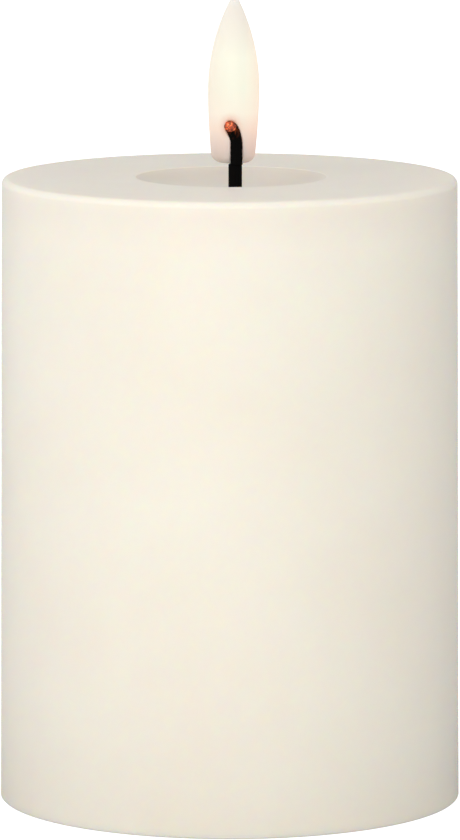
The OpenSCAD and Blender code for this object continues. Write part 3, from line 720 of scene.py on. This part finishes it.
# ---------------------------------------------------------------------------------------------
# Wax shell
# ---------------------------------------------------------------------------------------------
def pool_profile(n):
    """From the rim inwards: steep at the rim, nearly flat in the middle."""
    points = []
    for i in range(n + 1):
        u = math.sin(math.pi / 2 * (1 - i / n))
        points.append((POOL_R * u, BODY_H - POOL_DEPTH * (1 - u ** 5)))
    return points


def wax_profile():
    """From the hollow's ceiling down its wall, round the foot, up the side and over to the pool."""
    foot = arc(BODY_R - FOOT_EDGE_R, FOOT_EDGE_R, FOOT_EDGE_R, -90, 0, 6)
    shoulder = arc(BODY_TOP_R - TOP_EDGE_R, BODY_H - TOP_EDGE_R, TOP_EDGE_R, 0, 90, 16)
    bevel_in, bevel_out = (HOLLOW_R - HOLLOW_BEVEL, CEILING_Z), (HOLLOW_R, CEILING_Z - HOLLOW_BEVEL)
    inside = line((0.0, CEILING_Z), bevel_in, 14)
    bevel = line(bevel_in, bevel_out, 4)
    wall = line(bevel_out, (HOLLOW_R, 0.0), 40)
    ring = line((HOLLOW_R, 0.0), foot[0], 5)
    side = line(foot[-1], shoulder[0], 110)
    top = line(shoulder[-1], (POOL_R, BODY_H), 40)
    return inside + bevel + wall + ring + foot[:-1] + side + shoulder[:-1] + top


def wax_shape(x, y, z):
    """Soft unevenness of poured wax: inwards only, so that the shell keeps its size."""
    p = Vector((x, y, z))
    r = math.hypot(x, y)
    if r > HOLLOW_R + 0.0005:
        wave = 0.5 + 0.5 * noise.noise(p * 45.0)
        dimple = max(0.0, noise.noise(p * 160.0 + Vector((7, 3, 1))) - 0.35)
        inset = WAX_WAVE * wave + WAX_DIMPLE * dimple
        k = 1 - inset / r
        x, y = x * k, y * k
    if z > BODY_H - 0.003 and POOL_R < r:
        z -= WAX_TOP_WAVE * (0.5 + 0.5 * noise.noise(Vector((x, y, 0)) * 120.0))
    return x, y, z


def make_wax():
    """The shell with the pool sunk into its top; the pool's rim is slightly uneven."""
    segments = 288
    bm, rings = revolve(wax_profile(), segments, wax_shape)
    pool_rings = []
    for r, z in pool_profile(28):
        if r < 1e-9:
            pool_rings.append([bm.verts.new((POOL_X, 0, z))])
            continue
        ring = []
        for k in range(segments):
            a = math.tau * k / segments
            uneven = 1 + 0.004 * noise.noise(Vector((math.cos(a), math.sin(a), 0)) * 1.5)
            ring.append(bm.verts.new((POOL_X + r * uneven * math.cos(a), r * uneven * math.sin(a), z)))
        pool_rings.append(ring)
    bridge(bm, rings[-1], pool_rings[0])
    for low, high in zip(pool_rings, pool_rings[1:]):
        bridge(bm, low, high)
    shell = finish_mesh("wax_pillar", bm, 50)
    dress(shell, wax_material())
    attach(shell, "root")
    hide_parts("wax_shell")


# ---------------------------------------------------------------------------------------------
# Flame, wick, ember and stem
# ---------------------------------------------------------------------------------------------
def flame_profile():
    """Round foot, sides that swell to the belly, and a bow to a small blunt tip."""
    reach = FLAME_H - FLAME_BELLY
    bow_r = (reach * reach + FLAME_R * FLAME_R) / (2 * FLAME_R)
    tip_a = math.asin(reach / bow_r)
    foot = arc(FLAME_FOOT_R - FLAME_EDGE_R, FLAME_EDGE_R, FLAME_EDGE_R, -90, 0, 12)
    side = []
    for i in range(1, 24):
        t = i / 24
        side.append((FLAME_FOOT_R + (FLAME_R - FLAME_FOOT_R) * math.sin(math.pi / 2 * t),
                     FLAME_EDGE_R + (FLAME_BELLY - FLAME_EDGE_R) * t))
    bow = arc(FLAME_R - bow_r, FLAME_BELLY, bow_r, 0, math.degrees(tip_a * FLAME_BOW), 39)
    end_r, end_z = bow[-1]
    cap = [(end_r * math.cos(math.radians(a)), end_z + end_r * FLAME_CAP * math.sin(math.radians(a)))
           for a in (15, 32, 50, 70)]
    low = line((0.0, 0.0), foot[0], 5)
    return low + foot + side + bow + cap + [(0.0, end_z + end_r * FLAME_CAP)]


def flame_place(x, y, z):
    """The flame's own point in the frame: leaning to the right, and set back from the wick."""
    lean_x = x * math.cos(FLAME_LEAN) + z * math.sin(FLAME_LEAN)
    lean_z = z * math.cos(FLAME_LEAN) - x * math.sin(FLAME_LEAN)
    return FLAME_X + lean_x, FLAME_Y + y, FLAME_Z + lean_z


def wick_path():
    """Up the front of the flame, then over to the left and forward to the ember."""
    y = WICK_Y
    points = [Vector((WICK_X, y, FLAME_Z)), Vector((WICK_X, y, FLAME_Z + 0.0017)),
              Vector((WICK_X, y, FLAME_Z + WICK_BEND)),
              Vector((WICK_X - 0.00009, y, FLAME_Z + WICK_BEND + 0.0008)),
              Vector((WICK_X - 0.00034, y - 0.00008, FLAME_Z + WICK_BEND + 0.0017)),
              Vector((WICK_X - 0.00072, y - 0.00038, FLAME_Z + WICK_BEND + 0.0025)),
              Vector((TIP_X + 0.00003, y - 0.00085, TIP_Z - 0.00008)),
              Vector((TIP_X - 0.00002, y - 0.00120, TIP_Z))]
    return smooth_path(points, 7)


def wick_outline(path, grow):
    """Rings of the wick: a rounded strip that turns round towards its tip, with a braided surface."""
    count = 40

    def ring(i):
        t = i / (len(path) - 1)
        roundness = min(1.0, max(0.0, (t - 0.35) / 0.4))
        bulge = math.exp(-((t - 0.66) / 0.16) ** 2)
        half_w = WICK_HALF_W * (1 - 0.06 * t + 0.10 * bulge) + grow
        half_t = WICK_HALF_T + (half_w - WICK_HALF_T) * roundness + grow * (1 - roundness)
        # The ring is a superellipse: a power of 2 is an ellipse, and more is squarer
        power = 2.6 - 0.6 * roundness
        points = []
        for k in range(count):
            a = math.tau * k / count
            c, s = math.cos(a), math.sin(a)
            u = math.copysign(abs(c) ** (2 / power), c)
            v = math.copysign(abs(s) ** (2 / power), s)
            weave = 0.0
            if grow == 0:
                weave = 0.030 * math.sin(3 * a + i * 0.85) * math.sin(3 * a - i * 0.85)
                weave += 0.05 * noise.noise(Vector((c * 2.2, s * 2.2, i * 0.55))) - 0.02
            points.append((half_w * u * (1 + weave), half_t * v * (1 + weave)))
        return points

    return ring


def make_groove(path):
    """The wick's own shape with room round it, carried on a little past the ember."""
    frames = carried_frames(path, Vector((1, 0, 0)))
    long_path = path + [path[-1] + Vector((0, -0.001, 0))]
    outline = wick_outline(long_path, GROOVE_CLEARANCE)
    return finish_mesh("groove", sweep(long_path, frames + [frames[-1]], outline))


def make_slot():
    """A box from the wick's middle out through the flame's front, up to where the wick bends."""
    half = WICK_HALF_W + SLOT_CLEARANCE
    left, right, back, front = WICK_X - half, WICK_X + half, WICK_Y, WICK_Y - SLOT_DEPTH
    bm = bmesh.new()
    lows, highs = [], []
    for z, ring in ((FLAME_Z - 0.001, lows), (FLAME_Z + WICK_BEND + 0.0004, highs)):
        for x, y in ((left, back), (right, back), (right, front), (left, front)):
            ring.append(bm.verts.new((x, y, z)))
    bridge(bm, lows, highs)
    bm.faces.new(lows)
    bm.faces.new(highs)
    return finish_mesh("slot", bm)


def make_flame(path):
    """The teardrop, with a groove for the whole wick and a slot that opens it to the front."""
    bm, _ = revolve(flame_profile(), 160, flame_place)
    flame = finish_mesh("flame_bulb", bm, 40)
    cut(flame, [make_groove(path), make_slot()])
    dress(flame, flame_material(path[-1]))
    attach(flame, "root")
    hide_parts("flame_diffuser")


def make_wick(path):
    bm = sweep(path, carried_frames(path, Vector((1, 0, 0))), wick_outline(path, 0.0))
    wick = finish_mesh("wick_strand", bm, 60)
    dress(wick, char_material("charred_wick", path[-1]))
    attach(wick, "root")
    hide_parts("wick")


def make_ember(path):
    """A lumpy dome on the wick's end."""
    tip = path[-1]
    way = (path[-1] - path[-3]).normalized()
    side, front = carried_frames([tip - way * 0.001, tip], Vector((1, 0, 0)))[0]
    bm = bmesh.new()
    sunk, levels, segments = 0.00005, 12, 48
    rings = []
    for i in range(levels):
        a = math.radians(90 * i / levels)
        ring = []
        for k in range(segments):
            b = math.tau * k / segments
            p = Vector((math.cos(b) * math.cos(a), math.sin(b) * math.cos(a), math.sin(a)))
            lump = 1 + 0.16 * noise.noise(p * 2.3 + Vector((2, 5, 1))) + 0.08 * noise.noise(p * 6.0)
            ring.append(bm.verts.new(tip + (side * p.x + front * p.y) * EMBER_R * lump
                                     + way * (EMBER_RISE * p.z * lump - sunk)))
        rings.append(ring)
    rings.append([bm.verts.new(tip + way * EMBER_RISE)])
    for low, high in zip(rings, rings[1:]):
        bridge(bm, low, high)
    bm.faces.new(list(reversed(rings[0])))
    ember = finish_mesh("ember_tip", bm, 60)
    dress(ember, ember_material())
    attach(ember, "root")
    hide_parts("wick_ember")


def make_stem():
    """The stem tube, with softened ends."""
    soft, bore, outer = STEM_EDGE_R, STEM_R - STEM_WALL, STEM_R
    low, high = stem_low.z, stem_high.z
    profile = [(bore, low + soft), (bore + soft, low), (outer - soft, low), (outer, low + soft)]
    profile += line((outer, low + soft), (outer, high - soft), 24)[1:]
    profile += [(outer, high - soft), (outer - soft, high), (bore + soft, high), (bore, high - soft)]
    profile += line((bore, high - soft), (bore, low + soft), 24)[1:]

    def place(x, y, z):
        return STEM_X + x, STEM_Y + y, z

    bm, rings = revolve(profile, 48, place)
    bridge(bm, rings[-1], rings[0])
    stem = finish_mesh("stem_tube", bm, 60)
    dress(stem, char_material("stem_black"))
    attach(stem, "root")
    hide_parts("wick_stem")


# ---------------------------------------------------------------------------------------------
# Base: the moulded pieces with rounded edges, and the small marks moulded on them
# ---------------------------------------------------------------------------------------------
UP, DOWN = Vector((0, 0, 1)), Vector((0, 0, -1))
SHARP_ANGLE = math.radians(28)


def rounded_copy(name, piece_name, width, body, slot):
    """The node's own shape with its sharp edges rounded, which then stands for the node."""
    bm = bmesh.new()
    bm.from_mesh(nodes[name].data)
    bmesh.ops.remove_doubles(bm, verts=bm.verts, dist=1e-7)
    bmesh.ops.dissolve_limit(bm, angle_limit=math.radians(0.5), verts=bm.verts, edges=bm.edges,
                             delimit={"NORMAL"})
    sharp = [e for e in bm.edges if len(e.link_faces) == 2 and e.is_convex
             and e.calc_face_angle(0.0) > SHARP_ANGLE]
    bmesh.ops.bevel(bm, geom=sharp, offset=width, segments=2, profile=0.5, affect="EDGES",
                    clamp_overlap=False)
    piece = finish_mesh(piece_name, bm, 40)
    dress(piece, plastic_material(piece_name, *MATERIALS[slot]))
    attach(piece, body)
    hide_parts(name)


def add_ridge(bm, a, b, radius, up, rise):
    """A closed, rounded ridge from a to b, of this half width, that stands out by rise along up."""
    way = (b - a).normalized()
    side = way.cross(up).normalized()
    # The near end's first ring lies a little further out than the far end's last
    rounds, turns = 5, 14
    angles = [math.radians(90 * (i + 1) / (rounds + 0.6)) for i in range(rounds)]
    starts = [math.radians(82)] + angles[-2::-1]
    rings = []
    for centre, sign, bends in ((a, -1, starts), (b, 1, angles)):
        for bend in bends:
            point = centre + way * (sign * radius * math.sin(bend))
            narrow = math.cos(bend)
            rings.append([bm.verts.new(point + side * (radius * narrow * math.cos(t))
                                       + up * (rise * narrow * math.sin(t)))
                          for t in (math.tau * k / turns for k in range(turns))])
    for low, high in zip(rings, rings[1:]):
        bridge(bm, low, high)
    bm.faces.new(list(reversed(rings[0])))
    bm.faces.new(rings[-1])


def add_ring(bm, centre, radius, thick):
    """A closed thin ring that lies flat."""
    segments, sides = 40, 8
    rings = []
    for i in range(segments):
        a = math.tau * i / segments
        way = Vector((math.cos(a), math.sin(a), 0))
        ring = []
        for k in range(sides):
            t = math.tau * k / sides
            out, rise = thick * math.cos(t), thick * math.sin(t)
            ring.append(bm.verts.new(centre + way * (radius + out) + Vector((0, 0, rise))))
        rings.append(ring)
    for low, high in zip(rings, rings[1:] + rings[:1]):
        bridge(bm, low, high)


def marked_piece(name, bm, body, slot):
    piece = finish_mesh(name, bm, 60)
    dress(piece, bpy.data.materials[slot])
    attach(piece, body)


def make_door_grip():
    """Ridges across the door's outside by its latch, each shorter than the one before."""
    bm = bmesh.new()
    first_y, step = -0.0082, 0.0011
    half_w, taper = 0.0046, 0.00025
    for i in range(5):
        y = first_y - step * i
        half = half_w - taper * i
        add_ridge(bm, Vector((-half, y, BASE_FACE_Z)), Vector((half, y, BASE_FACE_Z)), 0.0003, DOWN, 0.0002)
    marked_piece("door_grip", bm, "door", "base_plastic")


def make_door_arrow():
    """A chevron that points at the latch."""
    bm = bmesh.new()
    tip, wing = Vector((0, -0.0062, BASE_FACE_Z)), 0.0019
    for way in (-1, 1):
        add_ridge(bm, tip, Vector((way * wing, tip.y + wing, BASE_FACE_Z)), 0.00028, DOWN, 0.00018)
    marked_piece("door_arrow", bm, "door", "base_plastic")


def make_pole_marks():
    """A plus or a minus inside the door, under each end of the two cells."""
    bm = bmesh.new()
    z, half = BASE_FACE_Z + DOOR_T, 0.0014
    for x, y, plus in ((POLE_X, CELL_Y, True), (-POLE_X, CELL_Y, False),
                       (-POLE_X, -CELL_Y, True), (POLE_X, -CELL_Y, False)):
        add_ridge(bm, Vector((x - half, y, z)), Vector((x + half, y, z)), 0.0003, UP, 0.00015)
        if plus:
            add_ridge(bm, Vector((x, y - half, z)), Vector((x, y + half, z)), 0.0003, UP, 0.00015)
    marked_piece("door_pole_marks", bm, "door", "base_plastic")


def make_switch_ticks():
    """One tick for each of the knob's three places, each longer than the one before."""
    bm = bmesh.new()
    near_y = (knob_low.y + knob_high.y) / 2 - 0.0036
    far_y = (knob_low.y + knob_high.y) / 2 - 0.0042
    step = 0.002
    for i in range(3):
        x = -step + step * i
        start, end = Vector((x, near_y, BASE_FACE_Z)), Vector((x, far_y - 0.0003 * i, BASE_FACE_Z))
        add_ridge(bm, start, end, 0.00022, DOWN, 0.00016)
    marked_piece("switch_ticks", bm, "root", "base_plastic")


def make_moulding_rings():
    """The witness rings that ejector pins leave."""
    bm = bmesh.new()
    for x, y in ((-0.0155, 0.0238), (0.0155, 0.0238), (-0.0165, -0.0235), (0.0165, -0.0235)):
        add_ring(bm, Vector((x, y, BASE_FACE_Z)), 0.0017, 0.00007)
    marked_piece("moulding_rings", bm, "root", "base_plastic")


def dress_cad_nodes():
    """Each CAD node that stays gets its slot's material."""
    made = {}
    for name, node in nodes.items():
        slot = SLOTS.get(name)
        if slot not in MATERIALS or name in ROUNDED:
            continue
        if slot not in made:
            made[slot] = plastic_material(slot, *MATERIALS[slot])
        dress(node, made[slot])


make_camera()
make_world()
make_floor()
make_lights()
bpy.context.scene.view_settings.view_transform = "Standard"
dress_cad_nodes()
dress(nodes["cell_1_sleeve"], wrap_material("cell_wrap_1", 1))
dress(nodes["cell_2_sleeve"], wrap_material("cell_wrap_2", -1))
for node_name, (piece_name, width, body) in ROUNDED.items():
    rounded_copy(node_name, piece_name, width, body, SLOTS[node_name])
make_door_grip()
make_door_arrow()
make_pole_marks()
make_switch_ticks()
make_moulding_rings()
make_wax()
strand = wick_path()
make_flame(strand)
make_wick(strand)
make_ember(strand)
make_stem()
